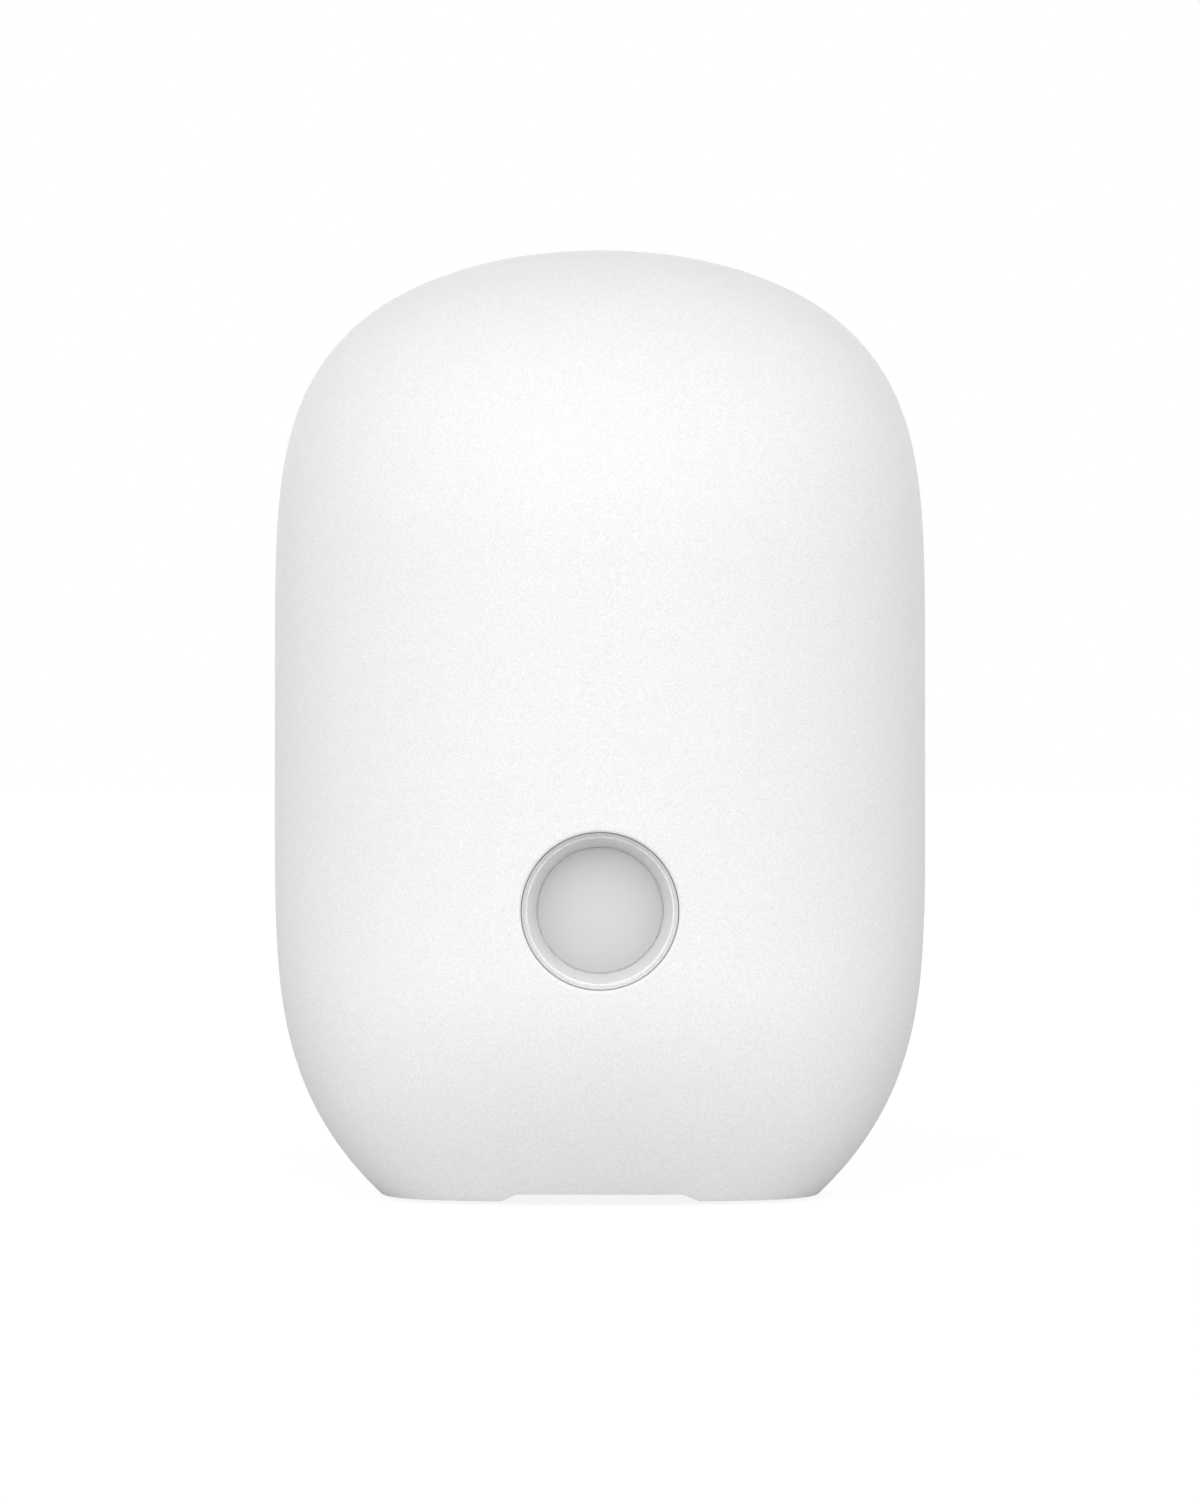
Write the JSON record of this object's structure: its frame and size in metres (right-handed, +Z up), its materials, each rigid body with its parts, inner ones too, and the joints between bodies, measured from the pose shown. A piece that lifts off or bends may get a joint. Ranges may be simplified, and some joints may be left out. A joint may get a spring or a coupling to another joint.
{
  "type": "mesh wifi node",
  "caption": "Upright pebble-shaped mesh wifi node with a round push button in a front recess, ethernet sockets and a power inlet in a rear bay, and an antenna-ringed board inside.",
  "frame": {"origin": "middle of the footprint, on the surface that the foot pads stand on", "axes": "+Z up, the button faces -Y, the socket bay faces +Y, +X to the right seen from the front"},
  "size_m": [0.09, 0.064, 0.1305],
  "materials": {
    "shell_white": "fine-grained matte, white",
    "bezel_white": "satin, white",
    "lens_white": "smooth translucent white",
    "inner_plastic": "plain moulded natural white",
    "panel_grey": "fine-grained matte light grey",
    "black_plastic": "moulded black",
    "foot_rubber": "soft grey",
    "board_green": "solder mask, satin green",
    "chip_black": "moulded epoxy, black",
    "shield_tin": "tinned",
    "heatsink_metal": "extruded, plain",
    "screw_steel": "zinc plated",
    "contact_gold": "gold plated",
    "pad_blue": "soft gap pad",
    "light_clear": "clear moulded",
    "led_body": "clear resin over phosphor",
    "ribbon_white": "film, off-white",
    "coax_black": "jacketed, black",
    "antenna_board": "black laminate with copper track",
    "capacitor_can": "drawn can",
    "ferrite_grey": "pressed ferrite"
  },
  "bodies": {
    "node_body": {"front_housing": "shell_white", "rear_housing": "shell_white", "port_panel": "panel_grey", "base_plate": "panel_grey", "foot_pad_left": "foot_rubber", "foot_pad_right": "foot_rubber", "bezel_ring": "bezel_white", "button_switch": "black_plastic", "light_guide": "light_clear", "status_leds": "led_body", "button_board": "board_green", "button_bracket": "inner_plastic", "ribbon_cable": "ribbon_white", "ribbon_connectors": "inner_plastic", "main_board": "board_green", "processor": "chip_black", "memory_chips": "chip_black", "flash_chip": "chip_black", "radio_shield_left": "shield_tin", "radio_shield_right": "shield_tin", "thermal_pads": "pad_blue", "heatsink": "heatsink_metal", "rear_heat_spreader": "heatsink_metal", "magnetics": "chip_black", "ethernet_chip": "chip_black", "power_chip": "chip_black", "power_inductors": "ferrite_grey", "power_capacitors": "capacitor_can", "jack_shield_left": "shield_tin", "jack_insert_left": "black_plastic", "jack_contacts_left": "contact_gold", "jack_shield_right": "shield_tin", "jack_insert_right": "black_plastic", "jack_contacts_right": "contact_gold", "power_inlet_shell": "shield_tin", "power_inlet_tongue": "black_plastic", "reset_switch": "black_plastic", "antenna_left": "antenna_board", "antenna_right": "antenna_board", "antenna_top_left": "antenna_board", "antenna_top_right": "antenna_board", "antenna_holder_left": "inner_plastic", "antenna_holder_right": "inner_plastic", "antenna_holder_top": "inner_plastic", "coax_left": "coax_black", "coax_right": "coax_black", "coax_top_left": "coax_black", "coax_top_right": "coax_black", "coax_connectors": "contact_gold", "base_screws": "screw_steel", "board_screws": "screw_steel", "heatsink_screws": "screw_steel", "bracket_screws": "screw_steel"},
    "front_button": {"button_lens": "lens_white", "button_carrier": "inner_plastic", "button_plunger": "black_plastic"},
    "reset_key": {"reset_button": "inner_plastic", "reset_plunger": "black_plastic"}
  },
  "joints": [
    {"name": "front_button_press", "type": "slide", "parent": "node_body", "child": "front_button", "axis": [0, 1, 0], "range_m": [0, 0.0004], "stiffness_N_per_m": 1500, "springref_m": -0.0002},
    {"name": "reset_key_press", "type": "slide", "parent": "node_body", "child": "reset_key", "axis": [0, -1, 0], "range_m": [0, 0.0003], "stiffness_N_per_m": 1500, "springref_m": -0.0002}
  ]
}
